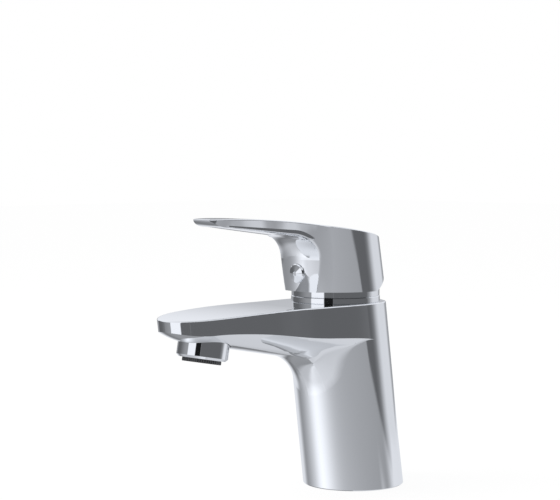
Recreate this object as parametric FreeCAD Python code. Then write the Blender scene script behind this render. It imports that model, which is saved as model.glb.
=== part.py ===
import FreeCAD, Part
import math
import os

# Single-lever basin mixer, in millimetres. The origin is the centre of the base circle on the
# deck, Z is up and the spout reaches towards -Y. The body is a leaning column that grows into a
# tongue-shaped spout; the lever handle repeats that tongue above it and works a ceramic-disc
# cartridge of the common 35 mm size.

V = FreeCAD.Vector
ALONG_X = V(1, 0, 0)
UP = V(0, 0, 1)
FAR = 200.0

# Body column
BASE_R = 25.0
COLUMN_TAPER = 0.0092
COLUMN_LEAN = 0.147
BODY_TOP_Z = 91.6
BODY_EDGE_R = 0.6
BASE_EDGE = 0.4
CASTING_WALL = 3.6

# Band: the upright tongue-shaped wall that runs round the spout and down the back of the column
BAND_R = 24.58
BAND_LEAN = 0.138
BAND_CENTRE_Y = -12.57
BAND_SIDE = [(22.6, -52.0), (22.2, -75.0), (20.5, -95.0), (15.4, -112.0)]
SPOUT_TIP_Y = -122.2
SPOUT_ARCH_START_Y = -55.0
SPOUT_ARCH_R = 790.0

# Belly: the round underside of the spout, rising to the tip and closed by a ball-shaped bow
KEEL_SLOPE = math.radians(10.4)
KEEL_Y = -84.6
KEEL_Z = 73.5
BELLY_BACK_Y = -6.0
BELLY_BACK_R = 27.5
BELLY_FRONT_Y = -107.0
BELLY_FRONT_R = 33.8
BELLY_ROUND_X = 12.0
BELLY_ARC_X = 22.5
BELLY_REACH_X = 44.0
FILLET_FRONT_R = 27.5
FILLET_SIDE_R = 3.0

# Cartridge chamber, waterway and the threaded holes under the chamber floor
AXIS_Y = -12.8
PIVOT_Z = 87.0
CHAMBER_R = 18.2
CHAMBER_FLOOR_Z = 60.0
NUT_THREAD_R = 20.0
NUT_SEAT_Z = 84.0
WATERWAY_START = (-28.0, 11.0, 70.0, 81.5)
WATERWAY_END = (-92.0, 7.5, 85.6, 88.2)
CAVITY_TOP_Z = 46.0
INLET_X = 8.5
INLET_Y = AXIS_Y + 1.0
INLET_R = 4.5
STUD_Y = 4.0
STUD_R = 3.4
STUD_DEPTH = 10.0
SEAL_INNER_R = 22.4
SEAL_OUTER_R = 24.0
SEAL_DEPTH = 1.8

# Aerator, measured along its own axis from the keel outwards
AERATOR_Y = -98.5
AERATOR_SEAT_R = 12.35
AERATOR_THREAD_R = 11.0
AERATOR_R = 12.0
AERATOR_TURN = 3.0
AERATOR_TOP = 8.6
AERATOR_BOTTOM = 6.2
AERATOR_BORE_R = 9.6
AERATOR_LIP_R = 9.0
WASHER_T = 1.0
PLENUM_R = 9.0
PLENUM_T = 2.4
INSERT_BOTTOM = 8.0
JET_R = 0.9
JET_RINGS = [(0.0, 1), (3.0, 6), (5.8, 12)]

# Cartridge
CARTRIDGE_R = 17.4
HOUSING_BORE_R = 15.2
HOUSING_NECK_R = 14.6
HOUSING_NECK_TOP_Z = 95.0
ROTOR_NECK_R = 12.3
ROTOR_DISC_R = 14.8
ROTOR_TOP_Z = 95.5
RUNNING_GAP = 0.3
DISC_SEAT_Z = 64.0
FIXED_DISC_R = 13.6
DISC_PLANE_Z = 68.5
MOVING_DISC_R = 11.2
CARRIER_SEAT_Z = 72.0
CARRIER_TOP_Z = 76.6
CARRIER_REST_Y = 2.25
PORT_R = 3.2
PORT_SEAL_R = 4.0
INLET_SEAL_R = (5.0, 6.2)
OUTLET_Y = AXIS_Y - 7.5
STEM_BALL_Z = 75.0
STEM_BALL_R = 3.0
STEM_ROD_R = 2.2
STEM_BLOCK = 9.0
STEM_SQUARE = 7.0
STEM_TOP_Z = 117.0
STEM_SWING = 8.0
PIN_R = 2.0
TURN_LIMIT = 50.0
LUG_HALF = 20.0

# Collar between body and handle
TRIM_R = 21.9
TRIM_TOP_Z = 94.5
DOME_R = 21.65
DOME_SHOULDER_Z = 97.8
DOME_WALL = 1.4
DOME_MOUTH_R = 16.0
SEAM = 0.25

# Handle
HANDLE_BASE_Z = 97.5
HANDLE_R = 24.4
HANDLE_TAPER = 0.027
HANDLE_LEAN = 0.138
HANDLE_WAIST_ANGLE = math.radians(47.0)
HANDLE_LOW_SIDE = [(10.4, -37.4), (8.2, -50.0), (7.2, -68.0), (5.4, -87.0)]
HANDLE_HIGH_SIDE = [(15.0, -37.4), (13.1, -50.0), (12.1, -68.0), (9.4, -87.0)]
HANDLE_TIP_Y = -96.6
HANDLE_TOP_R = 433.0
HANDLE_APEX_Y = -95.5
HANDLE_APEX_Z = 134.0
NECK_AXIS_Y = -4.6
NECK_LOW_R = 33.8
NECK_LEAN = 0.077
SCOOP_R = 13.0
BLADE_SLOPE = 0.130
BLADE_R = 45.8
BLADE_Z = 124.8
BOW_R = 86.0
HANDLE_EDGE_R = 1.8
HANDLE_RIM_R = 0.5
TIP_EDGE_R = 0.6
FADE_Y = -55.0
RIDGE_BACK_Y = -35.0
SOCKET_GAP = 0.1
CLEARANCE_BALL_R = 24.7
BOSS_R = 6.5
BOSS_BOTTOM_Z = 103.0
RELIEF_Y = -8.0
RELIEF_SLOPE = math.radians(28.0)
BUTTON_Y = -39.1
BUTTON_Z = 106.3
BUTTON_R = 4.65
GRUB_R = 2.5
GRUB_LENGTH = 8.0


def solid_of(shape):
    """The single solid of a boolean result, with faces that lie on one surface joined."""
    cleaned = shape.removeSplitter()
    return cleaned.Solids[0]


def polygon(points):
    return Part.Face(Part.makePolygon(points + points[:1]))


def turned(profile, y=AXIS_Y):
    """A ring or disc turned about the upright axis at y, from its half profile of (radius, z)."""
    face = polygon([V(r, y, z) for r, z in profile])
    return face.revolve(V(0, y, 0), UP, 360)


def drum(r, z_low, z_high, x=0.0, y=AXIS_Y):
    return Part.makeCylinder(r, z_high - z_low, V(x, y, z_low))


def tube(r_in, r_out, z_low, z_high, x=0.0, y=AXIS_Y):
    return drum(r_out, z_low, z_high, x, y).cut(drum(r_in, z_low - 1, z_high + 1, x, y))


def block(x_half, y_low, y_high, z_low, z_high):
    return Part.makeBox(2 * x_half, y_high - y_low, z_high - z_low, V(-x_half, y_low, z_low))


def side_profile(points, half_width=FAR):
    """A prism across the object whose outline is given in the YZ plane."""
    face = polygon([V(-half_width, y, z) for y, z in points])
    return face.extrude(ALONG_X * (2 * half_width))


def wedge(half_angle, y, z_low, z_high, reach=FAR):
    """A sector of the upright axis at y, centred on -Y, for half_angle degrees to each side."""
    a = math.radians(half_angle)
    side = reach * math.tan(a)
    face = polygon([V(0, y, z_low), V(side, y - reach, z_low), V(-side, y - reach, z_low)])
    return face.extrude(UP * (z_high - z_low))


def upright_circle(r, y, z):
    """A level circle whose start point faces -Y."""
    wire = Part.Wire(Part.makeCircle(r, V(0, y, z)))
    wire.rotate(V(0, y, z), UP, -90)
    return wire


def column(wall, z_top):
    """The leaning tapered column, inset by wall all round."""
    r_top = BASE_R - COLUMN_TAPER * z_top
    low = upright_circle(BASE_R - wall, 0, 0)
    high = upright_circle(r_top - wall, -COLUMN_LEAN * z_top, z_top)
    return Part.makeLoft([low, high], True, True)


def mirrored_outline(back, side):
    """A closed level outline from a back arc and the right-hand side curve."""
    left = side.mirror(V(0, 0, 0), ALONG_X)
    return Part.Wire(Part.__sortEdges__([back, side, left]))


def smooth_side(points, start_direction):
    curve = Part.BSplineCurve()
    curve.interpolate(Points=points, InitialTangent=start_direction, FinalTangent=V(-1, 0, 0))
    return curve.toShape()


def band_outline(z):
    y = BAND_CENTRE_Y
    back = Part.Arc(V(BAND_R, y, z), V(0, y + BAND_R, z), V(-BAND_R, y, z)).toShape()
    points = [V(BAND_R, y, z)] + [V(px, py, z) for px, py in BAND_SIDE] + [V(0, SPOUT_TIP_Y, z)]
    return mirrored_outline(back, smooth_side(points, V(0, -1, 0)))


def keel_z(y):
    return KEEL_Z + math.tan(KEEL_SLOPE) * (KEEL_Y - y)


def belly_section(y, r):
    """A slice of the spout's underside: a round keel that runs out into straight flanks."""
    base = keel_z(y)
    flank = math.asin(BELLY_ARC_X / r)

    def on_arc(angle):
        return V(r * math.sin(angle), y, base + r * (1 - math.cos(angle)))

    inner = math.asin(BELLY_ROUND_X / r)
    p = [on_arc(-flank), on_arc(-inner), on_arc(0), on_arc(inner), on_arc(flank)]
    far_z = p[4].z + (BELLY_REACH_X - BELLY_ARC_X) * math.tan(flank)
    far_left, far_right = V(-BELLY_REACH_X, y, far_z), V(BELLY_REACH_X, y, far_z)
    top_left, top_right = V(-BELLY_REACH_X, y, FAR), V(BELLY_REACH_X, y, FAR)
    left_bend = Part.Arc(p[0], on_arc(-(flank + inner) / 2), p[1]).toShape()
    keel = Part.Arc(p[1], p[2], p[3]).toShape()
    right_bend = Part.Arc(p[3], on_arc((flank + inner) / 2), p[4]).toShape()
    return Part.Wire([
        Part.makeLine(far_left, p[0]), left_bend, keel, right_bend, Part.makeLine(p[4], far_right),
        Part.makeLine(far_right, top_right), Part.makeLine(top_right, top_left),
        Part.makeLine(top_left, far_left),
    ])


def rounded(shape, edge_radii):
    """Rounds edges with a radius that changes evenly from one end of each edge to the other."""
    document = FreeCAD.newDocument()
    base = document.addObject("Part::Feature", "base")
    base.Shape = shape
    result = document.addObject("Part::Fillet", "result")
    result.Base = base
    result.Edges = edge_radii
    document.recompute()
    shape = result.Shape.copy()
    FreeCAD.closeDocument(document.Name)
    return shape.Solids[0]


def throat_radius(point):
    """The fillet under the spout: full in front of the column, small where it meets the band."""
    share = (abs(point.x) - BELLY_ROUND_X) / (BELLY_ARC_X - BELLY_ROUND_X)
    share = min(1.0, max(0.0, share))
    return FILLET_FRONT_R + (FILLET_SIDE_R - FILLET_FRONT_R) * share


def lower_form():
    """Column and belly as one form with the throat between them rounded."""
    belly = Part.makeLoft([
        belly_section(BELLY_BACK_Y, BELLY_BACK_R), belly_section(BELLY_FRONT_Y, BELLY_FRONT_R),
    ], True, True)
    form = column(0, BODY_TOP_Z + 15).fuse(belly).Solids[0]
    edge_radii = []
    for number, edge in enumerate(form.Edges, 1):
        box = edge.BoundBox
        if box.ZMin > CHAMBER_FLOOR_Z - 5 and box.ZMax < BODY_TOP_Z and box.YMin > -1.8 * BASE_R:
            ends = edge.valueAt(edge.FirstParameter), edge.valueAt(edge.LastParameter)
            edge_radii.append((number, throat_radius(ends[0]), throat_radius(ends[1])))
    form = rounded(form, edge_radii)
    bow_r = BELLY_FRONT_R / math.cos(KEEL_SLOPE)
    bow_centre = V(0, BELLY_FRONT_Y + bow_r * math.sin(KEEL_SLOPE), keel_z(BELLY_FRONT_Y) + BELLY_FRONT_R)
    bow = Part.makeSphere(bow_r, bow_centre)
    bow = bow.common(block(FAR, -FAR, BELLY_FRONT_Y, 0, bow_centre.z))
    return form.fuse(bow)


def spout_placed(shape):
    """Moves a piece turned about Z, with its outward end at -Z, to the aerator's axis."""
    shape.rotate(V(0, 0, 0), ALONG_X, -math.degrees(KEEL_SLOPE))
    shape.translate(V(0, AERATOR_Y, keel_z(AERATOR_Y)))
    return shape


def aerator_turned(profile):
    """A piece of the aerator from its half profile of (radius, distance out of the spout)."""
    return spout_placed(turned([(r, -t) for r, t in profile], 0.0))


def water_section(y, half_width, z_low, z_high):
    return Part.makePolygon([V(-half_width, y, z_low), V(half_width, y, z_low), V(half_width, y, z_high),
                             V(-half_width, y, z_high), V(-half_width, y, z_low)])


def make_faucet_body():
    """Cast body: column, band, spout, with the chamber, waterway, inlets and hollow base."""
    lift = 8.0
    fall = BODY_TOP_Z + lift
    lean = V(0, BAND_LEAN * fall, -fall)
    raise_by = V(0, -BAND_LEAN * lift, lift)
    band = Part.Face(band_outline(BODY_TOP_Z).translated(raise_by)).extrude(lean)
    back_circle = Part.Wire(Part.makeCircle(BAND_R, V(0, BAND_CENTRE_Y, BODY_TOP_Z) + raise_by))
    back_wall = Part.Face(back_circle).extrude(lean)
    spout = lower_form().common(band)
    body = column(0, BODY_TOP_Z + 15).fuse(back_wall).fuse(spout)
    arch_end_y = SPOUT_TIP_Y - 10
    drop = SPOUT_ARCH_R - math.sqrt(SPOUT_ARCH_R**2 - (arch_end_y - SPOUT_ARCH_START_Y) ** 2)
    mid_y = (arch_end_y + SPOUT_ARCH_START_Y) / 2
    mid_drop = SPOUT_ARCH_R - math.sqrt(SPOUT_ARCH_R**2 - (mid_y - SPOUT_ARCH_START_Y) ** 2)
    top = [V(-FAR, FAR, BODY_TOP_Z), V(-FAR, SPOUT_ARCH_START_Y, BODY_TOP_Z),
           V(-FAR, mid_y, BODY_TOP_Z - mid_drop), V(-FAR, arch_end_y, BODY_TOP_Z - drop),
           V(-FAR, arch_end_y, FAR), V(-FAR, FAR, FAR)]
    above = Part.Face(Part.Wire([
        Part.makeLine(top[0], top[1]), Part.Arc(top[1], top[2], top[3]).toShape(),
        Part.makeLine(top[3], top[4]), Part.makeLine(top[4], top[5]), Part.makeLine(top[5], top[0]),
    ])).extrude(ALONG_X * (2 * FAR))
    body = body.cut(above).Solids[0]
    high_edges = [edge for edge in body.Edges if edge.BoundBox.ZMin > BODY_TOP_Z - drop - 1]
    body = body.makeFillet(BODY_EDGE_R, [edge for edge in high_edges if edge.BoundBox.YLength > 1])
    foot = turned([(BASE_R - BASE_EDGE, 0), (BASE_R + 5, 0), (BASE_R + 5, 5 + BASE_EDGE)], 0.0)
    body = body.cut(foot)

    chamber = drum(CHAMBER_R, CHAMBER_FLOOR_Z, NUT_SEAT_Z)
    nut_thread = drum(NUT_THREAD_R, NUT_SEAT_Z, BODY_TOP_Z + 5)
    waterway = Part.makeLoft([water_section(*WATERWAY_START), water_section(*WATERWAY_END)], True, True)
    floor_cut = block(FAR, -FAR, FAR, CAVITY_TOP_Z, FAR)
    hollow_base = column(CASTING_WALL, BODY_TOP_Z).cut(floor_cut)
    inlets = [drum(INLET_R, CAVITY_TOP_Z - 1, CHAMBER_FLOOR_Z + 1, x, y) for x, y in inlet_places()]
    stud = drum(STUD_R, CAVITY_TOP_Z - 1, CAVITY_TOP_Z + STUD_DEPTH, 0, STUD_Y)
    groove = tube(SEAL_INNER_R, SEAL_OUTER_R, -1, SEAL_DEPTH, 0, 0)
    seat_top = AERATOR_TOP + WASHER_T
    thread_r = AERATOR_THREAD_R + 0.05
    seat = aerator_turned([
        (0, 20), (AERATOR_SEAT_R, 20), (AERATOR_SEAT_R, -AERATOR_TURN), (thread_r, -AERATOR_TURN),
        (thread_r, -seat_top), (PLENUM_R, -seat_top), (PLENUM_R, -seat_top - PLENUM_T),
        (0, -seat_top - PLENUM_T),
    ])
    for hollow in [chamber, nut_thread, waterway, hollow_base, stud, groove, seat] + inlets:
        body = body.cut(hollow)
    return body.Solids[0]


def make_base_seal():
    return tube(SEAL_INNER_R, SEAL_OUTER_R, 0, SEAL_DEPTH, 0, 0)


def inlet_places():
    return [(-INLET_X, INLET_Y), (INLET_X, INLET_Y)]


def make_cartridge_base():
    """Plastic floor of the cartridge: two inlet ports and an outlet that leaves at the front."""
    base = drum(CARTRIDGE_R, CHAMBER_FLOOR_Z, DISC_SEAT_Z + 1.0)
    base = base.cut(drum(FIXED_DISC_R, DISC_SEAT_Z, DISC_SEAT_Z + 2))
    for x, y in inlet_places():
        base = base.cut(drum(PORT_R, CHAMBER_FLOOR_Z - 1, DISC_SEAT_Z + 1, x, y))
        base = base.cut(drum(INLET_SEAL_R[1], CHAMBER_FLOOR_Z - 1, CHAMBER_FLOOR_Z + 1.5, x, y))
    for x, y in inlet_places() + [(0, OUTLET_Y)]:
        base = base.cut(drum(PORT_SEAL_R, DISC_SEAT_Z - 0.8, DISC_SEAT_Z + 1, x, y))
    base = base.cut(drum(PORT_R, DISC_SEAT_Z - 2, DISC_SEAT_Z + 1, 0, OUTLET_Y))
    outlet = block(PORT_R, AXIS_Y - 20, OUTLET_Y, CHAMBER_FLOOR_Z + 1.0, DISC_SEAT_Z - 1.2)
    return solid_of(base.cut(outlet))


def make_cartridge_seals():
    low, high = CHAMBER_FLOOR_Z, CHAMBER_FLOOR_Z + 1.5
    return Part.makeCompound([tube(*INLET_SEAL_R, low, high, x, y) for x, y in inlet_places()])


def make_disc_seals():
    low, high = DISC_SEAT_Z - 0.8, DISC_SEAT_Z
    places = inlet_places() + [(0, OUTLET_Y)]
    return Part.makeCompound([tube(PORT_R, PORT_SEAL_R, low, high, x, y) for x, y in places])


def make_fixed_ceramic_disc():
    disc = drum(FIXED_DISC_R, DISC_SEAT_Z, DISC_PLANE_Z)
    for x, y in inlet_places() + [(0, OUTLET_Y)]:
        disc = disc.cut(drum(PORT_R, DISC_SEAT_Z - 1, DISC_PLANE_Z + 1, x, y))
    return disc.Solids[0]


def make_moving_ceramic_disc():
    """Upper disc, with the mixing pocket in its polished underside."""
    y = AXIS_Y + CARRIER_REST_Y
    disc = drum(MOVING_DISC_R, DISC_PLANE_Z, CARRIER_SEAT_Z, 0, y)
    pocket = drum(6.0, DISC_PLANE_Z - 1, DISC_PLANE_Z + 1.8, 0, y - 1.5)
    return disc.cut(pocket).Solids[0]


def make_disc_carrier():
    """Slider that grips the upper disc and takes the ball end of the stem."""
    y = AXIS_Y + CARRIER_REST_Y
    carrier = drum(MOVING_DISC_R + 1.2, DISC_PLANE_Z + 0.8, CARRIER_TOP_Z, 0, y)
    carrier = carrier.cut(drum(MOVING_DISC_R, DISC_PLANE_Z, CARRIER_SEAT_Z, 0, y))
    carrier = carrier.cut(drum(STEM_BALL_R + RUNNING_GAP, CARRIER_SEAT_Z - 0.4, CARRIER_TOP_Z + 1))
    return carrier.Solids[0]


def make_cartridge_rotor():
    """Turning guide that carries the stem's pin; its lug meets the temperature stop."""
    disc_top = NUT_SEAT_Z - 3.8
    low = CARRIER_TOP_Z + 0.35
    rotor = turned([(0, low), (ROTOR_DISC_R, low), (ROTOR_DISC_R, disc_top), (ROTOR_NECK_R, disc_top),
                    (ROTOR_NECK_R, ROTOR_TOP_Z), (0, ROTOR_TOP_Z)])
    lug = tube(10.0, ROTOR_NECK_R, ROTOR_TOP_Z, ROTOR_TOP_Z + 1.8)
    rotor = rotor.fuse(lug.common(wedge(LUG_HALF, AXIS_Y, ROTOR_TOP_Z - 1, FAR)))
    half = STEM_BLOCK / 2 + RUNNING_GAP
    slot = block(half, AXIS_Y - STEM_SWING, AXIS_Y + STEM_SWING, low - 1, ROTOR_TOP_Z + 5)
    pin_hole = Part.makeCylinder(PIN_R, 40, V(-20, AXIS_Y, PIVOT_Z), ALONG_X)
    return solid_of(rotor.cut(slot).cut(pin_hole))


def make_stem_pin():
    length = 2 * (ROTOR_NECK_R - 0.8)
    return Part.makeCylinder(PIN_R, length, V(-length / 2, AXIS_Y, PIVOT_Z), ALONG_X)


def make_lever_stem():
    """Steel stem: ball end below, pivot block in the middle, square drive above."""
    ball = Part.makeSphere(STEM_BALL_R, V(0, AXIS_Y, STEM_BALL_Z))
    rod = drum(STEM_ROD_R, STEM_BALL_Z, PIVOT_Z)
    half, drive = STEM_BLOCK / 2, STEM_SQUARE / 2
    pivot = block(half, AXIS_Y - half, AXIS_Y + half, PIVOT_Z - 5, PIVOT_Z + 5)
    square = block(drive, AXIS_Y - drive, AXIS_Y + drive, PIVOT_Z, STEM_TOP_Z)
    square = square.makeChamfer(0.6, [e for e in square.Edges if e.BoundBox.ZMin > STEM_TOP_Z - 0.01])
    pin_hole = Part.makeCylinder(PIN_R + 0.05, 40, V(-20, AXIS_Y, PIVOT_Z), ALONG_X)
    return solid_of(ball.fuse(rod).fuse(pivot).fuse(square).cut(pin_hole))


def make_cartridge_housing():
    shoulder = NUT_SEAT_Z - 3.4
    neck_bore = ROTOR_NECK_R + RUNNING_GAP
    low = DISC_SEAT_Z + 1.0
    return turned([(HOUSING_BORE_R, low), (CARTRIDGE_R, low), (CARTRIDGE_R, NUT_SEAT_Z),
                   (HOUSING_NECK_R, NUT_SEAT_Z), (HOUSING_NECK_R, HOUSING_NECK_TOP_Z),
                   (neck_bore, HOUSING_NECK_TOP_Z), (neck_bore, shoulder), (HOUSING_BORE_R, shoulder)])


def make_glide_washer():
    """Thin slip ring under the housing's shoulder, above the rotor's disc."""
    return tube(ROTOR_NECK_R + RUNNING_GAP, ROTOR_DISC_R, NUT_SEAT_Z - 3.7, NUT_SEAT_Z - 3.4)


def make_temperature_limit_ring():
    """Stop ring on the housing's neck; the rotor's lug turns in its gap."""
    rim = tube(ROTOR_NECK_R + RUNNING_GAP, HOUSING_NECK_R, HOUSING_NECK_TOP_Z, ROTOR_TOP_Z + 2.0)
    stop = tube(10.0, ROTOR_NECK_R + RUNNING_GAP + 0.5, ROTOR_TOP_Z + 0.4, ROTOR_TOP_Z + 2.0)
    gap = wedge(LUG_HALF + TURN_LIMIT + 1.0, AXIS_Y, ROTOR_TOP_Z, FAR)
    return solid_of(rim.fuse(stop.cut(gap)))


def make_cartridge_nut():
    """Brass ring that clamps the cartridge, with key slots round its top."""
    top = TRIM_TOP_Z + 2.0
    nut = tube(HOUSING_NECK_R + RUNNING_GAP, NUT_THREAD_R - 0.1, NUT_SEAT_Z, top)
    for turn in range(0, 360, 60):
        slot = block(2.0, AXIS_Y - 30, AXIS_Y - 17.2, top - 2.5, top + 1)
        slot.rotate(V(0, AXIS_Y, 0), UP, turn)
        nut = nut.cut(slot)
    return nut.Solids[0]


def make_trim_ring():
    inner = NUT_THREAD_R + 0.1
    top_r = TRIM_R - 0.1
    return turned([(inner, BODY_TOP_Z), (TRIM_R - SEAM, BODY_TOP_Z), (TRIM_R, BODY_TOP_Z + SEAM),
                   (top_r, TRIM_TOP_Z - SEAM), (top_r - SEAM, TRIM_TOP_Z), (inner, TRIM_TOP_Z)])


def make_dome_cover():
    """Cover over the nut: a short collar that closes in as a ball zone about the lever's pivot."""
    ball_r = math.hypot(DOME_R, DOME_SHOULDER_Z - PIVOT_Z)
    mouth_z = PIVOT_Z + math.sqrt(ball_r**2 - DOME_MOUTH_R**2)
    centre = V(0, AXIS_Y, PIVOT_Z)
    skin = drum(DOME_R, TRIM_TOP_Z, mouth_z).common(Part.makeSphere(ball_r, centre))
    skin = skin.makeChamfer(SEAM, [e for e in skin.Edges if e.BoundBox.ZMax < TRIM_TOP_Z + 0.01])
    bore = drum(NUT_THREAD_R + 0.1, TRIM_TOP_Z - 1, FAR)
    inside = bore.common(Part.makeSphere(ball_r - DOME_WALL, centre))
    mouth = drum(DOME_MOUTH_R - 0.4, mouth_z - 5, FAR)
    return solid_of(skin.cut(inside).cut(mouth))


def handle_outline(z, side):
    """Level slice of the handle before scooping: round hub, drawn-in waist, slim lever."""
    y = AXIS_Y - HANDLE_LEAN * (z - HANDLE_BASE_Z)
    r = HANDLE_R - HANDLE_TAPER * (z - HANDLE_BASE_Z)
    shift = y - AXIS_Y
    waist = V(r * math.sin(HANDLE_WAIST_ANGLE), y - r * math.cos(HANDLE_WAIST_ANGLE), z)
    back = Part.Arc(waist, V(0, y + r, z), V(-waist.x, waist.y, z)).toShape()
    points = [waist] + [V(px, py + shift, z) for px, py in side] + [V(0, HANDLE_TIP_Y + shift, z)]
    heading = V(-math.cos(HANDLE_WAIST_ANGLE), -math.sin(HANDLE_WAIST_ANGLE), 0)
    return mirrored_outline(back, smooth_side(points, heading))


def scoop():
    """The hollow under the lever: a neck of round front that sweeps forward into the blade."""
    low_z = HANDLE_BASE_Z - 5
    neck = V(NECK_LEAN, 0, 1).normalize()
    blade = V(1, 0, BLADE_SLOPE).normalize()
    neck_foot_r = NECK_LOW_R - NECK_LEAN * HANDLE_BASE_Z
    corner_z = (BLADE_Z + BLADE_SLOPE * (neck_foot_r - BLADE_R)) / (1 - BLADE_SLOPE * NECK_LEAN)
    corner = V(NECK_LOW_R + NECK_LEAN * (corner_z - HANDLE_BASE_Z), 0, corner_z)
    reach = SCOOP_R * math.tan(neck.getAngle(blade) / 2)
    start, end = corner - neck * reach, corner + blade * reach
    half_way = (neck * -1 + blade).normalize()
    middle = corner + half_way * (SCOOP_R / math.cos(neck.getAngle(blade) / 2) - SCOOP_R)
    low = V(NECK_LOW_R - NECK_LEAN * (HANDLE_BASE_Z - low_z), 0, low_z)
    bow_start = V(BOW_R, 0, BLADE_Z + BLADE_SLOPE * (BOW_R - BLADE_R))
    bow_middle = bow_start + V(6.2, 0, 1.35)
    bow_end = bow_start + V(11.0, 0, 4.9)
    edges = [
        Part.makeLine(low, start), Part.Arc(start, middle, end).toShape(), Part.makeLine(end, bow_start),
        Part.Arc(bow_start, bow_middle, bow_end).toShape(), Part.makeLine(bow_end, V(FAR, 0, bow_end.z)),
        Part.makeLine(V(FAR, 0, bow_end.z), V(FAR, 0, low_z)), Part.makeLine(V(FAR, 0, low_z), low),
    ]
    shape = Part.Face(Part.Wire(edges)).revolve(V(0, 0, 0), UP, 180)
    shape.rotate(V(0, 0, 0), UP, 180)
    shape.translate(V(0, NECK_AXIS_Y, 0))
    return shape


def button_placed(shape):
    """Moves a piece turned about Z, with its face at +Z, onto the front of the neck."""
    shape.rotate(V(0, 0, 0), ALONG_X, 90 + math.degrees(math.atan(NECK_LEAN)))
    shape.translate(V(0, BUTTON_Y, BUTTON_Z))
    return shape


def button_turned(profile):
    return button_placed(turned(profile, 0.0))


def ridge_radius(point):
    """Rounding of the lever's lower edges, which fades towards its thin tip."""
    tip_y = HANDLE_TIP_Y - HANDLE_LEAN * (HANDLE_APEX_Z - HANDLE_BASE_Z)
    share = (point.y - tip_y) / (FADE_Y - tip_y)
    share = min(1.0, max(0.0, share))
    return TIP_EDGE_R + (HANDLE_EDGE_R - TIP_EDGE_R) * share


def make_handle():
    """Lever handle: tongue-shaped prism, arched on top, scooped below, hollow over the dome."""
    top_z = HANDLE_APEX_Z + 2
    prism = Part.makeLoft([
        handle_outline(HANDLE_BASE_Z, HANDLE_LOW_SIDE), handle_outline(top_z, HANDLE_HIGH_SIDE),
    ], True, True)
    arch_centre = V(-FAR, HANDLE_APEX_Y, HANDLE_APEX_Z - HANDLE_TOP_R)
    arch = Part.makeCylinder(HANDLE_TOP_R, 2 * FAR, arch_centre, ALONG_X)
    arch.rotate(arch_centre, ALONG_X, 180)
    handle = prism.common(arch).cut(scoop())
    relief = side_profile([(RELIEF_Y, HANDLE_BASE_Z - 1), (RELIEF_Y, HANDLE_BASE_Z),
                           (RELIEF_Y + 60, HANDLE_BASE_Z + 60 * math.tan(RELIEF_SLOPE)),
                           (RELIEF_Y + 60, HANDLE_BASE_Z - 1)])
    handle = handle.cut(relief).Solids[0]
    edge_radii = []
    for number, edge in enumerate(handle.Edges, 1):
        ends = edge.valueAt(edge.FirstParameter), edge.valueAt(edge.LastParameter)
        middle = edge.valueAt((edge.FirstParameter + edge.LastParameter) / 2)
        on_arch = abs((middle - V(middle.x, arch_centre.y, arch_centre.z)).Length - HANDLE_TOP_R) < 0.01
        inner_x = min(abs(ends[0].x), abs(ends[1].x), abs(middle.x))
        if on_arch:
            edge_radii.append((number, HANDLE_RIM_R, HANDLE_RIM_R))
        elif middle.y < RIDGE_BACK_Y and middle.z > HANDLE_BASE_Z + 1 and inner_x > 5:
            edge_radii.append((number, ridge_radius(ends[0]), ridge_radius(ends[1])))
    handle = rounded(handle, edge_radii)
    pivot = V(0, AXIS_Y, PIVOT_Z)
    boss = drum(BOSS_R, BOSS_BOTTOM_Z, STEM_TOP_Z)
    hollow = Part.makeSphere(CLEARANCE_BALL_R, pivot).cut(boss)
    half = STEM_SQUARE / 2 + SOCKET_GAP
    socket = block(half, AXIS_Y - half, AXIS_Y + half, BOSS_BOTTOM_Z - 1, STEM_TOP_Z)
    screw_hole = button_turned([(0, -23.5), (GRUB_R, -23.5), (GRUB_R, -6.0), (3.0, -6.0), (3.0, 0), (0, 0)])
    spot_face = button_turned([(0, -0.45), (BUTTON_R + 0.1, -0.45), (BUTTON_R + 0.1, 3.0), (0, 3.0)])
    for cut in (hollow, socket, screw_hole, spot_face):
        handle = handle.cut(cut)
    return handle.Solids[0]


def make_index_button():
    """Coned cap pressed into the neck over the screw."""
    return button_turned([(0, -6.0), (3.0, -6.0), (3.0, -0.45), (BUTTON_R, -0.45), (BUTTON_R, 0.35),
                          (4.2, 0.7), (1.1, 1.7), (0.9, 1.45), (0, 1.45)])


def make_handle_grub_screw():
    screw = button_turned([(0, -22.6), (1.4, -22.6), (GRUB_R, -21.5), (GRUB_R, GRUB_LENGTH - 22.6),
                           (0, GRUB_LENGTH - 22.6)])
    return screw


def make_aerator_housing():
    return aerator_turned([
        (AERATOR_BORE_R, -AERATOR_TOP), (AERATOR_THREAD_R, -AERATOR_TOP),
        (AERATOR_THREAD_R, -AERATOR_TURN), (AERATOR_R, -AERATOR_TURN), (AERATOR_R, AERATOR_BOTTOM - 1.1),
        (AERATOR_R - 1.2, AERATOR_BOTTOM), (AERATOR_LIP_R, AERATOR_BOTTOM),
        (AERATOR_LIP_R, AERATOR_BOTTOM - 1.6), (AERATOR_BORE_R, AERATOR_BOTTOM - 1.6),
    ])


def make_aerator_washer():
    low, high = -AERATOR_TOP, -AERATOR_TOP - WASHER_T
    return aerator_turned([(7.5, low), (AERATOR_THREAD_R, low), (AERATOR_THREAD_R, high), (7.5, high)])


def make_flow_regulator():
    """Disc with a ring channel that throttles the flow above the screen."""
    return aerator_turned([(2.0, -AERATOR_TOP), (AERATOR_BORE_R, -AERATOR_TOP), (AERATOR_BORE_R, -5.4),
                           (6.5, -5.4), (6.5, -6.6), (4.0, -6.6), (4.0, -5.4), (2.0, -5.4)])


def make_aerator_screen():
    return aerator_turned([(0, -5.4), (AERATOR_BORE_R, -5.4), (AERATOR_BORE_R, -4.6), (0, -4.6)])


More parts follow.
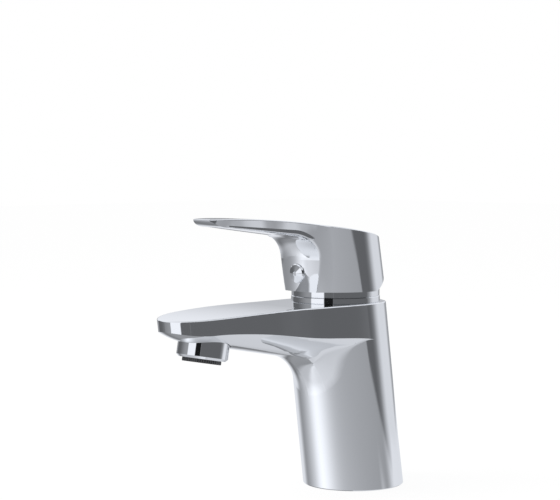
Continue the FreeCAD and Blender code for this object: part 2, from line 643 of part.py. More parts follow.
def make_aerator_insert():
    """Jet former: a cup held by the housing's lip, with its perforated nose showing below."""
    seat = AERATOR_BOTTOM - 1.6
    nose = AERATOR_LIP_R - 0.05
    insert = turned([(7.6, 4.6), (AERATOR_BORE_R, 4.6), (AERATOR_BORE_R, -seat), (nose, -seat),
                     (nose, -INSERT_BOTTOM), (0, -INSERT_BOTTOM + 0.6), (0, -INSERT_BOTTOM + 2.4),
                     (7.6, -INSERT_BOTTOM + 2.4)], 0.0)
    for ring_r, count in JET_RINGS:
        for number in range(count):
            angle = 2 * math.pi * number / count
            x, y = ring_r * math.cos(angle), ring_r * math.sin(angle)
            insert = insert.cut(drum(JET_R, -INSERT_BOTTOM - 1, -INSERT_BOTTOM + 4, x, y))
    return spout_placed(insert.Solids[0])


PIECES = {
    "faucet_body": make_faucet_body,
    "base_seal": make_base_seal,
    "cartridge_base": make_cartridge_base,
    "cartridge_seals": make_cartridge_seals,
    "disc_seals": make_disc_seals,
    "fixed_ceramic_disc": make_fixed_ceramic_disc,
    "moving_ceramic_disc": make_moving_ceramic_disc,
    "disc_carrier": make_disc_carrier,
    "cartridge_rotor": make_cartridge_rotor,
    "glide_washer": make_glide_washer,
    "stem_pin": make_stem_pin,
    "lever_stem": make_lever_stem,
    "cartridge_housing": make_cartridge_housing,
    "temperature_limit_ring": make_temperature_limit_ring,
    "cartridge_nut": make_cartridge_nut,
    "trim_ring": make_trim_ring,
    "dome_cover": make_dome_cover,
    "handle": make_handle,
    "handle_grub_screw": make_handle_grub_screw,
    "index_button": make_index_button,
    "aerator_housing": make_aerator_housing,
    "aerator_washer": make_aerator_washer,
    "flow_regulator": make_flow_regulator,
    "aerator_screen": make_aerator_screen,
    "aerator_insert": make_aerator_insert,
}

os.makedirs("parts", exist_ok=True)
for name, make in PIECES.items():
    shape = make()
    print(name, "valid" if shape.isValid() else "NOT VALID", len(shape.Solids), round(shape.Volume))
    shape.exportStep("parts/" + name + ".step")
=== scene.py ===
import math

import bmesh
import bpy
from mathutils import Matrix, Vector
from mathutils.bvhtree import BVHTree


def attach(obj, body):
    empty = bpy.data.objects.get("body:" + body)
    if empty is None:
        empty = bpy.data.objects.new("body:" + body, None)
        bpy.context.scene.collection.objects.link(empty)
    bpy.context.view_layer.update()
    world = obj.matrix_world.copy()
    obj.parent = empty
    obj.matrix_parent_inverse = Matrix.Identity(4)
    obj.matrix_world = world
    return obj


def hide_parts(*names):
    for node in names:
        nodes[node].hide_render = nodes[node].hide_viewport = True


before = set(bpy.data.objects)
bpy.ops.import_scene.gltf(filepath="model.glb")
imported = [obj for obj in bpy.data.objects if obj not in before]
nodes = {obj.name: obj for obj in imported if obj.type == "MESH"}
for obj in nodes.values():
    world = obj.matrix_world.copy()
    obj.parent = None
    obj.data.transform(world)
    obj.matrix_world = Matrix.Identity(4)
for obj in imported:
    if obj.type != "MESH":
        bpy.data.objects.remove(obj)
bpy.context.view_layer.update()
scene = bpy.context.scene
scene.view_settings.view_transform = "Standard"


# The photograph's view
# A long lens looks at the mixer's right front corner from a little above its handle. Its place and
# turn were fitted to the mixer's outline in the picture, with the base taken as 50 mm across.
picture_width, focal_pixels, sensor_width = 560.0, 1677.68, 36.0
look_yaw, look_pitch = 2.38362, -0.056034
view = bpy.data.cameras.new("photo_view")
view.sensor_width = sensor_width
view.lens = focal_pixels * sensor_width / picture_width
camera = bpy.data.objects.new("photo_view", view)
camera.location = (0.57922, -0.59867, 0.16275)
look = Vector((math.cos(look_pitch) * math.cos(look_yaw), math.cos(look_pitch) * math.sin(look_yaw),
               math.sin(look_pitch)))
camera.rotation_mode = "QUATERNION"
camera.rotation_quaternion = look.to_track_quat("-Z", "Y")
scene.collection.objects.link(camera)
scene.camera = camera


# Faucet body
# A brass casting, ground and buffed to a mirror, then plated with nickel and bright chrome.
# Plating follows the last buffing, so faint hazy drifts and fine wipe marks stay in the gloss.
class Value:
    """One socket of a node tree; arithmetic on it adds Math nodes."""

    def __init__(self, owner, socket):
        self.owner = owner
        self.socket = socket

    def math(self, operation, first, second):
        """One Math node on two values."""
        return self.owner.node("ShaderNodeMath", {"operation": operation}, {0: first, 1: second})

    def __add__(self, other):
        return self.math("ADD", self, other)

    def __sub__(self, other):
        return self.math("SUBTRACT", self, other)

    def __rsub__(self, other):
        return self.math("SUBTRACT", other, self)

    def __mul__(self, other):
        return self.math("MULTIPLY", self, other)

    def __truediv__(self, other):
        return self.math("DIVIDE", self, other)

    def __pow__(self, other):
        return self.math("POWER", self, other)

    __radd__ = __add__
    __rmul__ = __mul__


class Nodes:
    """A node tree in the making, and one way to add a node to it."""

    def __init__(self, tree):
        self.tree = tree
        self.tree.nodes.clear()

    def node(self, kind, settings, sockets, output=0):
        """Adds a node: first its settings, then a value or a link for each of its sockets."""
        made = self.tree.nodes.new(kind)
        for name, setting in settings.items():
            setattr(made, name, setting)
        for key, given in sockets.items():
            if isinstance(given, Value):
                self.tree.links.new(given.socket, made.inputs[key])
            else:
                made.inputs[key].default_value = given
        return Value(self, made.outputs[output]) if made.outputs else None

    def vector(self, **along):
        """A vector from its numbers along X, Y and Z."""
        return self.node("ShaderNodeCombineXYZ", {}, along)

    def parts(self, vector, axes="XYZ"):
        """The numbers of a vector along the named axes."""
        return [self.node("ShaderNodeSeparateXYZ", {}, {0: vector}, axis) for axis in axes]

    def rise(self, value, low, high):
        """0 below low, 1 above high and a soft rise between them."""
        return self.node("ShaderNodeMapRange", {"interpolation_type": "SMOOTHSTEP"}, {
            "Value": value, "From Min": low, "From Max": high})


class Finish(Nodes):
    """A material of a piece, on the piece's own coordinates."""

    def __init__(self, name):
        self.material = bpy.data.materials.new(name)
        self.material.use_nodes = True
        super().__init__(self.material.node_tree)

    def where(self):
        """Object coordinates, in metres."""
        return self.node("ShaderNodeTexCoord", {}, {}, "Object")

    def place(self, scale=(1.0, 1.0, 1.0), turn=(0.0, 0.0, 0.0), shift=(0.0, 0.0, 0.0)):
        """Object coordinates, stretched, turned and shifted for a pattern."""
        return self.node("ShaderNodeMapping", {}, {
            "Vector": self.where(), "Scale": scale, "Rotation": turn, "Location": shift})

    def noise(self, where, scale, detail):
        """Cloudy noise from 0 to 1."""
        return self.node("ShaderNodeTexNoise", {}, {"Vector": where, "Scale": scale, "Detail": detail})

    def unit(self, vector):
        """A vector made 1 long."""
        return self.node("ShaderNodeVectorMath", {"operation": "NORMALIZE"}, {0: vector})

    def blend(self, share, low, high):
        """A colour between two colours."""
        return self.node("ShaderNodeMix", {"data_type": "RGBA"}, {"Factor": share, 6: low, 7: high}, 2)

    def bumps(self, height, strength, depth):
        """A facing roughened by a height pattern."""
        return self.node("ShaderNodeBump", {}, {"Height": height, "Strength": strength, "Distance": depth})

    def surface(self, **sockets):
        """The shader itself; spaces in its socket names are written as underscores."""
        named = {name.replace("_", " "): given for name, given in sockets.items()}
        shader = self.node("ShaderNodeBsdfPrincipled", {}, named)
        self.node("ShaderNodeOutputMaterial", {}, {"Surface": shader})
        return self.material


column_lean, column_taper = 0.147, 0.0092


def plated_chrome(name, drift_scale, bare=None, facing=None):
    """Bright chrome: a mirror with soft haze drifts and hair-fine wipe marks. Where bare is given,
    it says where the plating ends and the raw casting shows; facing gives a trued surface."""
    polish, haze, wipe_depth = 0.025, 0.02, 0.05
    chrome = Finish(name)
    drift = chrome.noise(chrome.place(), drift_scale, 3.0)
    wipe = chrome.noise(chrome.place((1.0, 1.0, 9.0), (0.0, 0.5, 0.3)), 160.0, 2.0)
    tone = chrome.blend(drift, (0.86, 0.87, 0.885, 1.0), (0.89, 0.9, 0.91, 1.0))
    gloss = polish + drift * haze + (wipe ** 4.0) * wipe_depth
    sockets = {}
    if bare:
        raw = bare(chrome)
        sand = chrome.noise(chrome.place(), 700.0, 4.0)
        cast_brass = chrome.blend(sand, (0.42, 0.29, 0.13, 1.0), (0.60, 0.44, 0.21, 1.0))
        tone = chrome.blend(raw, tone, cast_brass)
        gloss = gloss + raw * (0.3 + sand * 0.25)
    if facing:
        sockets["Normal"] = facing(chrome)
    return chrome.surface(Base_Color=tone, Metallic=1.0, Roughness=gloss, **sockets)


def inside_casting(chrome):
    """1 in the hollow base and the cartridge chamber, which are cast and turned but not plated."""
    inner_radius, top, plating_edge = 0.0219, 0.0913, 0.0002
    x, y, z = chrome.parts(chrome.where())
    across = y + z * column_lean
    from_axis = (x ** 2.0 + across * across) ** 0.5
    near_axis = 1.0 - chrome.rise(from_axis, inner_radius, inner_radius + plating_edge)
    return near_axis * (1.0 - chrome.rise(z, top, top + plating_edge))


def trued_side(chrome, cast, axis_y, axis_z, lean, taper):
    """Trues a facing to a leaning round side where it is within a few degrees of it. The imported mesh
    faces unevenly from facet to facet, which a mirror would show as ragged edges."""
    apart, together = 0.9955, 0.9985
    x, y, z = chrome.parts(chrome.where())
    ring = chrome.unit(chrome.vector(X=x, Y=y - axis_y + (z - axis_z) * lean))
    ring_x, ring_y = chrome.parts(ring, "XY")
    side = chrome.unit(chrome.vector(X=ring_x, Y=ring_y, Z=ring_y * lean + taper))
    trued = chrome.node("ShaderNodeVectorTransform", {
        "vector_type": "NORMAL", "convert_from": "OBJECT", "convert_to": "WORLD"}, {0: side})
    agree = chrome.node("ShaderNodeVectorMath", {"operation": "DOT_PRODUCT"}, {0: cast, 1: trued}, "Value")
    return chrome.node("ShaderNodeMix", {"data_type": "VECTOR"}, {
        0: chrome.rise(agree, apart, together), 4: cast, 5: trued}, 1)


def column_and_spout_wall(chrome):
    """Trues the column, and shades the spout's edge wall as upright, where the solid's wall leans out
    by up to 8 degrees."""
    spout_start, spout_end, wall_tilt, belly_tilt = -0.04, -0.06, 0.16, 0.3
    across, along, upwards = chrome.parts(chrome.node("ShaderNodeNewGeometry", {}, {}, "Normal"))
    (reach,) = chrome.parts(chrome.where(), "Y")
    tilt = chrome.node("ShaderNodeMath", {"operation": "ABSOLUTE"}, {0: upwards})
    kept = chrome.node("ShaderNodeMath", {"operation": "MAXIMUM"}, {
        0: chrome.rise(reach, spout_end, spout_start), 1: chrome.rise(tilt, wall_tilt, belly_tilt)})
    wall = chrome.unit(chrome.vector(X=across, Y=along, Z=upwards * kept))
    return trued_side(chrome, wall, axis_y=0.0, axis_z=0.0, lean=column_lean, taper=column_taper)


def dress(material, *names):
    """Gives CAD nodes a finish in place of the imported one."""
    for name in names:
        slots = nodes[name].data.materials
        slots.clear()
        slots.append(material)


dress(plated_chrome("body_chrome", 14.0, inside_casting, column_and_spout_wall), "faucet_body")


# Threads of the inlets and the fixing stud
# Cut with a tap through the raw floor of the base: two for the supply hoses, one for the stud
# that pulls the mixer down onto the deck.
def grown(name, body, material, sizes, build):
    """Runs a Geometry Nodes tree with named sizes and keeps its result as a plain mesh."""
    tree = bpy.data.node_groups.new(name, "GeometryNodeTree")
    tree.interface.new_socket("Shape", in_out="OUTPUT", socket_type="NodeSocketGeometry")
    named = {}
    for label, size in sizes.items():
        kind = "NodeSocketInt" if isinstance(size, int) else "NodeSocketFloat"
        named[label] = tree.interface.new_socket(label, in_out="INPUT", socket_type=kind).identifier
    shape = Nodes(tree)
    entry = {label: shape.node("NodeGroupInput", {}, {}, label) for label in sizes}
    whole = shape.node("GeometryNodeRealizeInstances", {}, {0: build(shape, entry)})
    finished = shape.node("GeometryNodeSetMaterial", {}, {"Geometry": whole, "Material": material})
    shape.node("NodeGroupOutput", {}, {0: finished})
    piece = bpy.data.objects.new(name, bpy.data.meshes.new(name))
    scene.collection.objects.link(piece)
    maker = piece.modifiers.new(name, "NODES")
    maker.node_group = tree
    for label, identifier in named.items():
        maker[identifier] = sizes[label]
    evaluated = piece.evaluated_get(bpy.context.evaluated_depsgraph_get())
    plain = bpy.data.meshes.new_from_object(evaluated)
    piece.modifiers.remove(maker)
    piece.data = plain
    plain.name = name
    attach(piece, body)
    return piece


def thread_ridge(shape, entry):
    """A three-sided ridge wound round a straight axis. It points at that axis, as in a tapped hole, or
    away from it when the ridge is turned half round."""
    path = shape.node("GeometryNodeCurveSpiral", {}, {
        "Resolution": 40, "Rotations": entry["Turns"], "Start Radius": entry["Radius"],
        "End Radius": entry["Radius"], "Height": entry["Length"]})
    level = shape.node("GeometryNodeSetCurveNormal", {"mode": "Z_UP"}, {"Curve": path})
    ridge = shape.node("GeometryNodeCurvePrimitiveCircle", {}, {"Resolution": 3, "Radius": entry["Ridge"]})
    pointed = shape.node("GeometryNodeTransform", {}, {
        "Geometry": ridge, "Rotation": shape.vector(Z=entry["Ridge turn"])})
    wound = shape.node("GeometryNodeCurveToMesh", {}, {
        "Curve": level, "Profile Curve": pointed, "Fill Caps": True})
    started = shape.node("GeometryNodeTransform", {}, {
        "Geometry": wound, "Translation": shape.vector(Z=entry["Start"])})
    return shape.node("GeometryNodeTransform", {}, {
        "Geometry": started, "Rotation": shape.vector(X=entry["Tilt"]),
        "Translation": shape.vector(X=entry["X"], Y=entry["Y"], Z=entry["Z"])})


raw_casting = Finish("tapped_brass")
swarf = raw_casting.noise(raw_casting.place(), 1800.0, 3.0)
tapped_brass = raw_casting.surface(
    Base_Color=raw_casting.blend(swarf, (0.58, 0.41, 0.17, 1.0), (0.78, 0.59, 0.28, 1.0)),
    Metallic=1.0, Roughness=0.2 + swarf * 0.2)
cavity_top, lead_in, tapped_share = 0.046, 0.0006, 0.42
for name, x, y, hole_radius, pitch, length in (
        ("hot_inlet_thread", -0.0085, -0.0118, 0.0045, 0.001, 0.0125),
        ("cold_inlet_thread", 0.0085, -0.0118, 0.0045, 0.001, 0.0125),
        ("stud_thread", 0.0, 0.004, 0.0034, 0.00125, 0.009)):
    grown(name, "faucet", tapped_brass, {
        "X": x, "Y": y, "Z": cavity_top, "Tilt": 0.0, "Start": lead_in, "Radius": hole_radius,
        "Length": length, "Turns": length / pitch, "Ridge": pitch * tapped_share, "Ridge turn": 0.0},
        thread_ridge)


# Base seal
# A black rubber ring pressed into the groove of the base, so that no water creeps under the foot.
# The port seals of the cartridge and the aerator's washer are moulded from the same rubber.
rubber = Finish("seal_rubber")
bloom = rubber.noise(rubber.place(), 420.0, 4.0)
rubber_grain = rubber.noise(rubber.place(), 2600.0, 2.0)
seal_rubber = rubber.surface(
    Base_Color=rubber.blend(bloom, (0.012, 0.012, 0.013, 1.0), (0.045, 0.045, 0.047, 1.0)),
    Roughness=0.62 + bloom * 0.25, Normal=rubber.bumps(rubber_grain, 0.35, 0.0002))
dress(seal_rubber, "base_seal", "cartridge_seals", "disc_seals", "aerator_washer")


# Cartridge
# Base, housing, rotor and slip ring are moulded from pale acetal; the slider and the stop ring
# are darker. Two lapped ceramic discs do the sealing between them.
def moulded(name, low, high, gloss):
    """Moulded plastic: slow shade changes and the fine grain of a sparked mould."""
    plastic = Finish(name)
    cloud = plastic.noise(plastic.place(), 90.0, 3.0)
    grain = plastic.noise(plastic.place(), 1500.0, 3.0)
    return plastic.surface(Base_Color=plastic.blend(cloud, low, high), Roughness=gloss + grain * 0.12,
                           Normal=plastic.bumps(grain, 0.2, 0.0001))


acetal = moulded("pale_acetal", (0.70, 0.69, 0.65, 1.0), (0.78, 0.77, 0.74, 1.0), 0.34)
dress(acetal, "cartridge_base", "cartridge_housing", "cartridge_rotor", "glide_washer", "flow_regulator")
grey_acetal = moulded("grey_acetal", (0.05, 0.05, 0.055, 1.0), (0.075, 0.075, 0.08, 1.0), 0.36)
dress(grey_acetal, "disc_carrier", "temperature_limit_ring")
lapped = Finish("lapped_ceramic")
speck = lapped.noise(lapped.place(), 900.0, 4.0)
lapped_ceramic = lapped.surface(
    Base_Color=lapped.blend(speck, (0.78, 0.77, 0.73, 1.0), (0.88, 0.87, 0.84, 1.0)),
    Roughness=0.1 + speck * 0.12)
dress(lapped_ceramic, "fixed_ceramic_disc", "moving_ceramic_disc")


# Cartridge nut
# Turned from brass bar, with the lathe's fine rings left on its faces and a dull first tarnish.
# It screws into the top of the chamber and clamps the cartridge down onto its seals.
turned = Finish("turned_brass")
lathe_axis = (0.0, 0.0128, 0.0)
rings = turned.node("ShaderNodeTexWave", {"wave_type": "RINGS", "rings_direction": "Z"}, {
    "Vector": turned.place(shift=lathe_axis), "Scale": 900.0, "Distortion": 0.4, "Detail": 1.0})
tarnish = turned.noise(turned.place(), 130.0, 4.0)
turned_brass = turned.surface(
    Base_Color=turned.blend(tarnish, (0.72, 0.50, 0.20, 1.0), (0.80, 0.60, 0.29, 1.0)), Metallic=1.0,
    Roughness=0.22 + tarnish * 0.14, Normal=turned.bumps(rings, 0.15, 0.00005))
dress(turned_brass, "cartridge_nut")


# Stem and pin
# Drawn stainless steel, with the draw marks running along each piece. The stem ends in a ball below
# and a square drive above, and rocks on the pin that crosses the rotor.
drawn = Finish("drawn_steel")
marks = drawn.noise(drawn.place((1.0, 1.0, 0.03)), 1400.0, 2.0)
drawn_steel = drawn.surface(
    Base_Color=drawn.blend(marks, (0.48, 0.48, 0.49, 1.0), (0.62, 0.62, 0.63, 1.0)), Metallic=1.0,
    Roughness=0.24 + marks * 0.14)
dress(drawn_steel, "lever_stem", "stem_pin")


# Handle grub screw
# A stainless set screw with a coned point and a hexagon socket, rolled from wire. It goes in through
# the neck of the handle and bites on the square of the stem.
def hexagon_reach(angle, across_flats):
    """How far a hexagon reaches from its centre in one direction."""
    flat = math.radians(60.0)
    return across_flats / 2.0 / math.cos((angle + flat / 2.0) % flat - flat / 2.0)


screw_y, screw_z, screw_tilt = -0.0391, 0.1063, math.pi / 2.0 + math.atan(0.077)
screw_end, screw_point, core_radius, point_radius = -0.0146, -0.0226, 0.0021, 0.0012
cone_length, chamfer, socket_flats, socket_depth, screw_sides = 0.001, 0.0003, 0.0025, 0.003, 36
screw_shape = bmesh.new()
loops = []
for height, radius in (
        (screw_point, point_radius), (screw_point + cone_length, core_radius),
        (screw_end - chamfer, core_radius), (screw_end, core_radius - chamfer),
        (screw_end, None), (screw_end - socket_depth, None)):
    loop = []
    for step in range(screw_sides):
        angle = math.radians(step * 360.0 / screw_sides)
        reach = hexagon_reach(angle, socket_flats) if radius is None else radius
        loop.append(screw_shape.verts.new((reach * math.cos(angle), reach * math.sin(angle), height)))
    loops.append(loop)
for low, high in zip(loops, loops[1:]):
    for step in range(screw_sides):
        screw_shape.faces.new((low[step - 1], low[step], high[step], high[step - 1]))
screw_shape.faces.new(loops[0])
screw_shape.faces.new(loops[-1])
bmesh.ops.recalc_face_normals(screw_shape, faces=screw_shape.faces)
screw_shape.transform(Matrix.Translation((0.0, screw_y, screw_z)) @ Matrix.Rotation(screw_tilt, 4, "X"))
screw_mesh = bpy.data.meshes.new("grub_screw")
screw_shape.to_mesh(screw_mesh)
screw_shape.free()
screw_mesh.materials.append(drawn_steel)
grub_screw = bpy.data.objects.new("grub_screw", screw_mesh)
scene.collection.objects.link(grub_screw)
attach(grub_screw, "lever")
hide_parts("handle_grub_screw")
screw_pitch, thread_start, thread_length, rolled_share = 0.0008, screw_point + 0.0012, 0.0062, 0.48
grown("grub_screw_thread", "lever", drawn_steel, {
    "X": 0.0, "Y": screw_y, "Z": screw_z, "Tilt": screw_tilt, "Start": thread_start,
    "Radius": core_radius, "Length": thread_length, "Turns": thread_length / screw_pitch,
    "Ridge": screw_pitch * rolled_share, "Ridge turn": math.pi}, thread_ridge)


# Trim ring and dome cover
# Drawn brass shells, buffed and plated like the body. The ring stands on the body, and the dome
# stands on the ring and hides the cartridge nut.
trim_chrome = plated_chrome("trim_chrome", 40.0)
dress(trim_chrome, "trim_ring", "dome_cover")


# Handle
# Die-cast zinc, polished and plated, held on the square of the stem by the grub screw. The coned
# button over the screw snaps into the neck.
def handle_hub(chrome):
    """Trues the hub's side as one smooth leaning cylinder."""
    cast = chrome.node("ShaderNodeNewGeometry", {}, {}, "Normal")
    return trued_side(chrome, cast, axis_y=-0.0128, axis_z=0.0975, lean=0.138, taper=0.0)


dress(plated_chrome("handle_chrome", 18.0, None, handle_hub), "handle")
dress(trim_chrome, "index_button")


# Dressed edge of the lever
# Grinding leaves a slim upright land along the lower border of each side, before the plating.
# It faces the dark hangings of the studio and shows as one line along the blade.
handle_mesh = nodes["handle"].data
handle_skin = BVHTree.FromPolygons([vertex.co for vertex in handle_mesh.vertices],
                                   [face.vertices for face in handle_mesh.polygons])
land_profile = ((-0.05, 0.3), (0.0, 0.0), (0.035, -0.25), (0.06, -0.5), (0.072, -0.75), (0.07, -1.0),
                (0.03, -1.2), (-0.5, -1.3), (-0.5, 0.3))
land_steps, land_back_y, land_front_y = 64, -0.041, -0.0905
land_height, height_lost, end_steps = 0.0021, 0.7, 6.0
neck_axis_y, blade_radius, blade_level, blade_slope = -0.0046, 0.0458, 0.1248, 0.13
tip_rise, neck_rise, droop, droop_share = 0.0009, 0.0024, 0.0032, 0.22
outside_x, first_guess_x, inwards = 0.04, 0.011, Vector((-1.0, 0.0, 0.0))
land_shape = bmesh.new()
for side in (1.0, -1.0):
    loops = []
    x = first_guess_x
    for step in range(land_steps + 1):
        share = step / land_steps
        y = land_back_y + (land_front_y - land_back_y) * share
        tall = land_height * (1.0 - height_lost * share) * min(1.0, (step + 1.0) / end_steps) ** 0.5
        sunk = droop * max(0.0, 1.0 - share / droop_share) ** 2.0
        for trial in range(3):
            level = blade_level + blade_slope * (math.hypot(x, y - neck_axis_y) - blade_radius)
            z = level + tip_rise + neck_rise * (1.0 - share) - sunk
            touched = handle_skin.ray_cast(Vector((outside_x, y, z)), inwards)[0]
            if touched and touched.x > 0.0:
                x = touched.x
        loops.append([land_shape.verts.new((side * (x + out * tall), y, z + up * tall))
                      for out, up in land_profile])
    for near, far in zip(loops, loops[1:]):
        for corner in range(len(land_profile)):
            face = land_shape.faces.new((near[corner - 1], near[corner], far[corner], far[corner - 1]))
            face.smooth = True
    land_shape.faces.new(loops[0])
    land_shape.faces.new(loops[-1])
bmesh.ops.recalc_face_normals(land_shape, faces=land_shape.faces)
land_mesh = bpy.data.meshes.new("handle_edge_land")
land_shape.to_mesh(land_mesh)
land_shape.free()
land_mesh.materials.append(trim_chrome)
handle_land = bpy.data.objects.new("handle_edge_land", land_mesh)
scene.collection.objects.link(handle_land)
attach(handle_land, "lever")


# Aerator
# A plated sleeve screwed up into the spout, with a moulded jet former in it, whose near-black is partly
# painted shade in the gap under the sleeve. A sieve of crossed steel wires lies above the former, and ribs
# round its nose give the fingers a grip; the ribs are a lighter, glossier copy of the former's plastic,
# painted light on the nose.
dress(trim_chrome, "aerator_housing")
# The jet former's own dark plastic, made near-black as painted shade in the gap under the sleeve.
jet_plastic_and_painted_shade = moulded("jet_plastic_and_painted_shade", (0.018, 0.018, 0.02, 1.0), (0.035, 0.035, 0.038, 1.0), 0.3)
dress(jet_plastic_and_painted_shade, "aerator_insert")
# Painted light: the ribs are the former's plastic in a lighter, glossier copy, for the light on the nose.
rib_plastic_painted_light = moulded("rib_plastic_painted_light", (0.085, 0.085, 0.09, 1.0), (0.125, 0.125, 0.13, 1.0), 0.22)


def seated_in_spout(shape, entry, piece):
    """Sets a piece made about its own axis at its height in the sloping seat of the aerator."""
    raised = shape.node("GeometryNodeTransform", {}, {
        "Geometry": piece, "Translation": shape.vector(Z=entry["Height"])})
    return shape.node("GeometryNodeTransform", {}, {
        "Geometry": raised, "Rotation": shape.vector(X=entry["Spout slope"]),
        "Translation": shape.vector(Y=entry["Seat y"], Z=entry["Seat z"])})


def grip_ribs(shape, entry):
    """Half-round ribs round the nose of the jet former, for the fingers that unscrew it."""
    ring = shape.node("GeometryNodeMeshCircle", {}, {
        "Vertices": entry["Ribs"], "Radius": entry["Nose radius"]})
    rib = shape.node("GeometryNodeMeshCylinder", {}, {
        "Vertices": 10, "Radius": entry["Rib radius"], "Depth": entry["Rib length"]})
    ribs = shape.node("GeometryNodeInstanceOnPoints", {}, {"Points": ring, "Instance": rib})
    stood = shape.node("GeometryNodeRealizeInstances", {}, {0: ribs})
    return seated_in_spout(shape, entry, stood)


def wire_cloth(shape, entry):
    """Two crossing layers of straight wires, each as long as the round screen is wide there."""
    half_span = (entry["Wires"] - 1.0) * entry["Pitch"] * 0.5
    row = shape.node("GeometryNodeMeshLine", {"mode": "OFFSET"}, {
        "Count": entry["Wires"], "Start Location": shape.vector(X=half_span * -1.0),
        "Offset": shape.vector(X=entry["Pitch"])})
    (x,) = shape.parts(shape.node("GeometryNodeInputPosition", {}, {}), "X")
    half_chord = (entry["Screen radius"] ** 2.0 - x * x) ** 0.5
    wire = shape.node("GeometryNodeMeshCylinder", {}, {
        "Vertices": 6, "Radius": entry["Wire radius"], "Depth": 2.0})
    layer = shape.node("GeometryNodeInstanceOnPoints", {}, {
        "Points": row, "Instance": wire, "Rotation": (math.pi / 2.0, 0.0, 0.0),
        "Scale": shape.vector(X=1.0, Y=1.0, Z=half_chord)})
    stack = shape.node("GeometryNodeMeshLine", {"mode": "OFFSET"}, {
        "Count": 2, "Offset": shape.vector(Z=entry["Wire radius"] * 1.9)})
    quarter_turns = shape.node("GeometryNodeInputIndex", {}, {}) * (math.pi / 2.0)
    turn = shape.node("FunctionNodeEulerToRotation", {}, {0: shape.vector(Z=quarter_turns)})
    crossed = shape.node("GeometryNodeInstanceOnPoints", {}, {
        "Points": stack, "Instance": layer, "Rotation": turn})
    return seated_in_spout(shape, entry, shape.node("GeometryNodeRealizeInstances", {}, {0: crossed}))


spout_seat = {"Spout slope": math.radians(-10.4), "Seat y": -0.0985, "Seat z": 0.076051}
grown("aerator_ribs", "faucet", rib_plastic_painted_light, {
    "Ribs": 52, "Nose radius": 0.00882, "Rib radius": 0.00026, "Rib length": 0.0015, "Height": -0.0071,
    **spout_seat}, grip_ribs)
wire_screen = grown("wire_screen", "faucet", drawn_steel, {
    "Wires": 25, "Pitch": 0.00074, "Screen radius": 0.0096, "Wire radius": 0.00017, "Height": 0.00484,
    **spout_seat}, wire_cloth)
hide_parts("aerator_screen")


# Studio
# A pale table in a white room. Mirrors see how the room is lit: a softbox to the left of the
# camera with its glow on the table, grey hangings beside it, and light walls at the right and back.
class Room(Nodes):
    """The studio's surfaces, told by bearing and height as a mirror sees them."""

    def bearing(self, where):
        """Degrees from the camera's side round to the right, from -180 to 180."""
        towards_camera = math.radians(-45.0)
        cosine, sine = math.cos(towards_camera), math.sin(towards_camera)
        ahead = self.node("ShaderNodeVectorMath", {"operation": "DOT_PRODUCT"}, {
            0: where, 1: (cosine, sine, 0.0)}, "Value")
        right = self.node("ShaderNodeVectorMath", {"operation": "DOT_PRODUCT"}, {
            0: where, 1: (-sine, cosine, 0.0)}, "Value")
        angle = self.node("ShaderNodeMath", {"operation": "ARCTAN2"}, {0: right, 1: ahead})
        return angle * (180.0 / math.pi)

    def elevation(self, where):
        """Degrees above the horizon."""
        (upwards,) = self.parts(where, "Z")
        return self.node("ShaderNodeMath", {"operation": "ARCSINE"}, {0: upwards}) * (180.0 / math.pi)

    def within(self, value, low, high, soft):
        """1 between low and high, with soft ends."""
        return self.rise(value, low - soft, low + soft) * (1.0 - self.rise(value, high - soft, high + soft))

    def hang(self, behind, front, where):
        """Puts one lit surface in front of another."""
        return behind + (front - behind) * where


half_table = 4.0
floor_mesh = bpy.data.meshes.new("pale_table")
floor_mesh.from_pydata([(-half_table, -half_table, 0), (half_table, -half_table, 0),
                        (half_table, half_table, 0), (-half_table, half_table, 0)], [], [(0, 1, 2, 3)])
floor = bpy.data.objects.new("pale_table", floor_mesh)
scene.collection.objects.link(floor)
table = Finish("pale_table")
matt = table.node("ShaderNodeBsdfDiffuse", {}, {"Color": (0.8, 0.8, 0.8, 1.0)})
white = table.node("ShaderNodeEmission", {}, {"Color": (1.0, 1.0, 1.0, 1.0), "Strength": 1.1})
shaded = table.node("ShaderNodeMixShader", {}, {0: 0.8, 1: matt, 2: white})
seen_by_camera = table.node("ShaderNodeLightPath", {}, {}, "Is Camera Ray")
table.node("ShaderNodeOutputMaterial", {}, {
    "Surface": table.node("ShaderNodeMixShader", {}, {0: seen_by_camera, 1: matt, 2: shaded})})
floor_mesh.materials.append(table.material)
floor.visible_glossy = False

world = bpy.data.worlds.new("white_room")
world.use_nodes = True
room = Room(world.node_tree)
sight = room.node("ShaderNodeTexCoord", {}, {}, "Generated")
bearing = room.bearing(sight)
height = room.elevation(sight)

# Light on the table, by bearing and height in degrees, where 1 is white
glow_bearing, glow_width = -76.0, 34.0
off_glow = (bearing - glow_bearing) / glow_width
glow = room.node("ShaderNodeMath", {"operation": "EXPONENT"}, {0: off_glow ** 2.0 * -1.0})
glow = glow * (0.25 + (1.0 - room.rise(height, -20.0, -5.0)) * 0.75)
glow = glow * (0.2 + room.rise(height, -52.0, -24.0) * 0.8)
left_shade = (1.0 - room.rise(bearing, -100.0, -70.0)) * 0.27
left_pool = (1.0 - room.rise(bearing, -150.0, -126.0)) * (room.rise(height, -32.0, -16.0) * 0.75 - 0.25)
right_pool = room.rise(bearing, 84.0, 112.0) * (0.12 + room.rise(height, -25.0, -14.0) * 0.38)
side_pool = room.within(bearing, 71.0, 110.0, 5.0) * room.within(height, -24.0, -12.5, 1.5) * 0.3
steepness = (1.0 - room.rise(height, -45.0, -16.0)) * 0.27
left_half = 0.43 - bearing * 0.0009 + glow * 0.6 - left_shade + left_pool
table_light = left_half + right_pool + side_pool + steepness

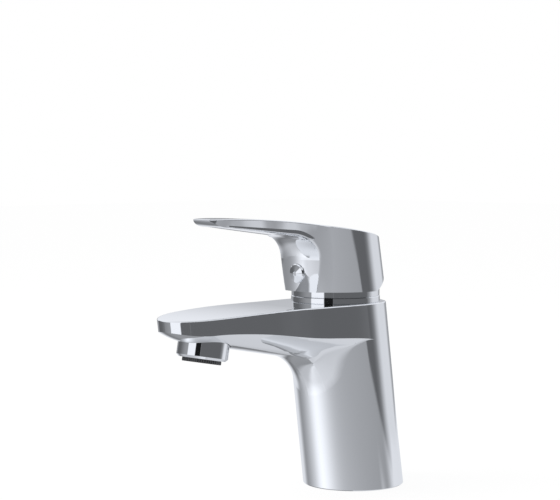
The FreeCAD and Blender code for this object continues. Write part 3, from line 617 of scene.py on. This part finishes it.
# Walls, hangings and softbox, each hung in front of the ones before it
back_wall = 0.35 + room.rise(height, 0.0, 13.0) * 0.55
side_wall = room.hang(back_wall, 0.75, room.within(bearing, 94.0, 150.0, 8.0))
right_hanging = room.hang(side_wall, 0.13 + room.rise(bearing, 84.0, 102.0) * 0.14,
                          room.rise(bearing, -7.5, -4.5) * (1.0 - room.rise(bearing, 92.0, 116.0)))
dark_gap = room.hang(right_hanging, 0.13 - room.rise(height, -4.0, 0.0) * 0.12,
                     room.within(bearing, -30.0, -6.0, 1.0))
bright_box = room.hang(dark_gap, 1.0, room.within(bearing, -66.0, -30.0, 1.5))
left_hanging = room.hang(bright_box, 0.13 + room.rise(bearing, -120.0, -70.0) * 0.2,
                         room.within(bearing, -142.0, -66.0, 2.0))
ceiling = 0.92 - room.rise(height, 38.0, 75.0) * 0.34
walls = room.hang(left_hanging, ceiling, room.rise(height, 14.0, 28.0))
low_hem = room.within(bearing, 66.0, 112.0, 6.0) * 1.6
studio_light = room.hang(walls, table_light, 1.0 - room.rise(height + low_hem, -7.6, -6.6))

# Mirrors see the studio, the camera plain white, and all else an even light
cool_white, even_light = (0.975, 1.0, 1.06), 0.7
cool_light = room.node("ShaderNodeVectorMath", {"operation": "SCALE"}, {
    0: cool_white, "Scale": studio_light})
mirror_sky = room.node("ShaderNodeBackground", {}, {"Color": cool_light, "Strength": 1.0})
by_mirror = room.node("ShaderNodeLightPath", {}, {}, "Is Glossy Ray")
by_camera = room.node("ShaderNodeLightPath", {}, {}, "Is Camera Ray")
plain_sky = room.node("ShaderNodeBackground", {}, {
    "Color": (1.0, 1.0, 1.0, 1.0), "Strength": even_light + by_camera * (1.0 - even_light)})
room.node("ShaderNodeOutputWorld", {}, {
    "Surface": room.node("ShaderNodeMixShader", {}, {0: by_mirror, 1: plain_sky, 2: mirror_sky})})
scene.world = world

key_place, key_aim = Vector((-0.5, -0.9, 1.0)), Vector((0.0, -0.03, 0.06))
lamp = bpy.data.lights.new("key", "AREA")
lamp.shape = "SQUARE"
lamp.size = 0.8
lamp.energy = 6.0
key = bpy.data.objects.new("key", lamp)
key.location = key_place
key.rotation_mode = "QUATERNION"
key.rotation_quaternion = (key_aim - key_place).to_track_quat("-Z", "Y")
key.visible_glossy = False
scene.collection.objects.link(key)
